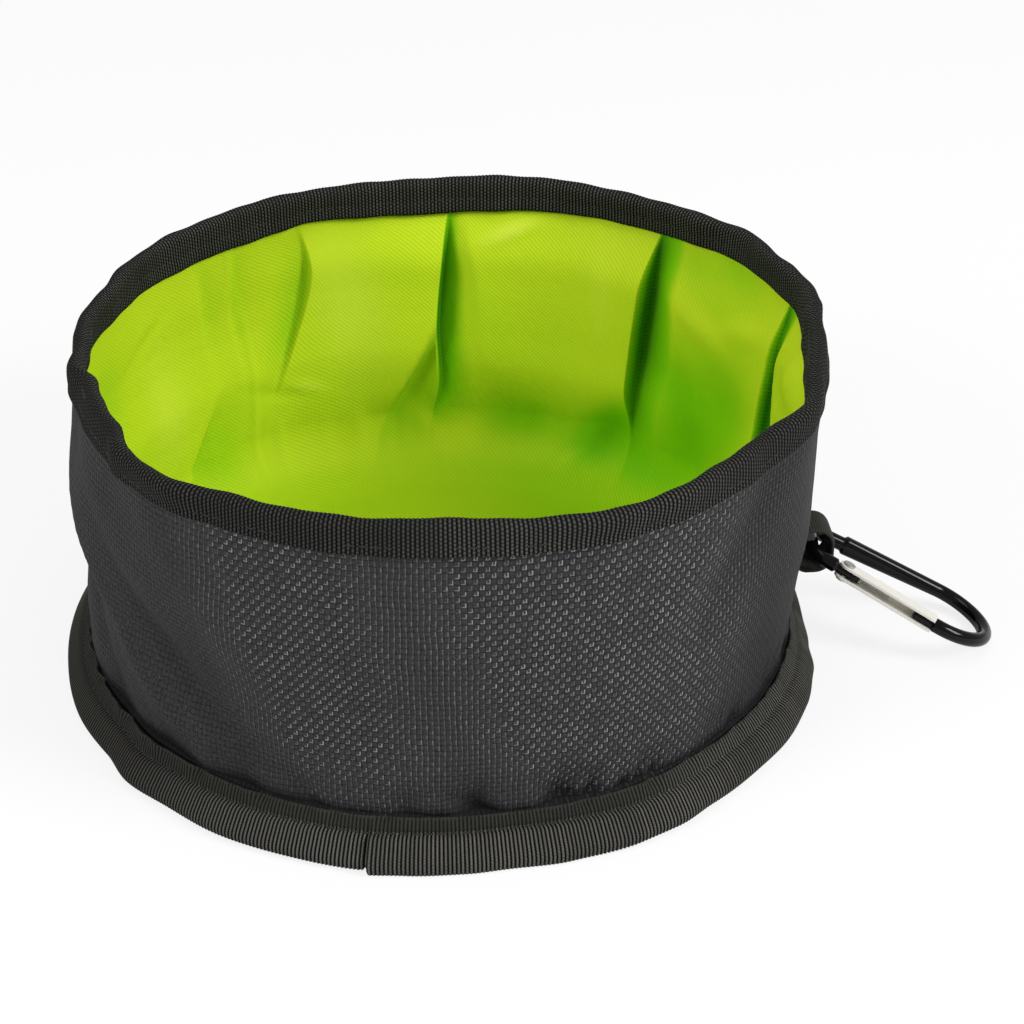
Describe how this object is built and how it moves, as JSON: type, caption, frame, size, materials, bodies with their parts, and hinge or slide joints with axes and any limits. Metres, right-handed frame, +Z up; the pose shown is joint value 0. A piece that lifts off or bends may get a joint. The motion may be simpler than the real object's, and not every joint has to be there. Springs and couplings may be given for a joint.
{
  "type": "collapsible fabric bowl",
  "caption": "Round soft-walled travel bowl with a green waterproof lining, taped rim and base, and a snap clip on a side loop; the rim presses down to collapse it.",
  "frame": {"origin": "centre of the base panel on the ground", "axes": "+Z up through the open rim, +X out through the loop and along the clip"},
  "size_m": [0.2226, 0.1804, 0.084],
  "materials": {
    "outer_fabric": "woven charcoal polyester, coated on the back",
    "lining_fabric": "lime green woven polyester with a waterproof coating",
    "binding_tape": "ribbed grosgrain tape, dark olive black",
    "thread": "sewing thread",
    "webbing": "narrow woven webbing, dark olive",
    "clip_black": "black anodised, glossy",
    "gate_sheet": "bare pressed sheet",
    "small_steel": "bare"
  },
  "bodies": {
    "bowl": {"outer_base": "outer_fabric", "base_lining": "lining_fabric", "outer_wall": "outer_fabric", "wall_lining": "lining_fabric", "base_binding": "binding_tape", "base_stitching": "thread", "hang_loop": "webbing", "loop_stitching": "thread"},
    "rim": {"rim_binding": "binding_tape", "rim_stitching": "thread"},
    "clip": {"clip_frame": "clip_black", "gate_rivet": "small_steel"},
    "gate": {"clip_gate": "gate_sheet", "gate_spring": "small_steel"}
  },
  "joints": [
    {"name": "collapse", "type": "slide", "parent": "bowl", "child": "rim", "axis": [0, 0, -1], "range_m": [0, 0.047], "deforming": ["outer_wall", "wall_lining"]},
    {"name": "clip_swing", "type": "hinge", "parent": "bowl", "child": "clip", "pos_m": [0.0892, 0.00034, 0.022], "axis": [-0.1219, -0.9825, 0.141], "range_deg": [0, 100]},
    {"name": "gate_open", "type": "hinge", "parent": "clip", "child": "gate", "pos_m": [0.09593, -0.00998, 0.01943], "axis": [0.45, 0.0719, 0.8901], "range_deg": [0, 30], "stiffness_Nm_per_rad": 0.05, "springref_deg": -22.92}
  ]
}
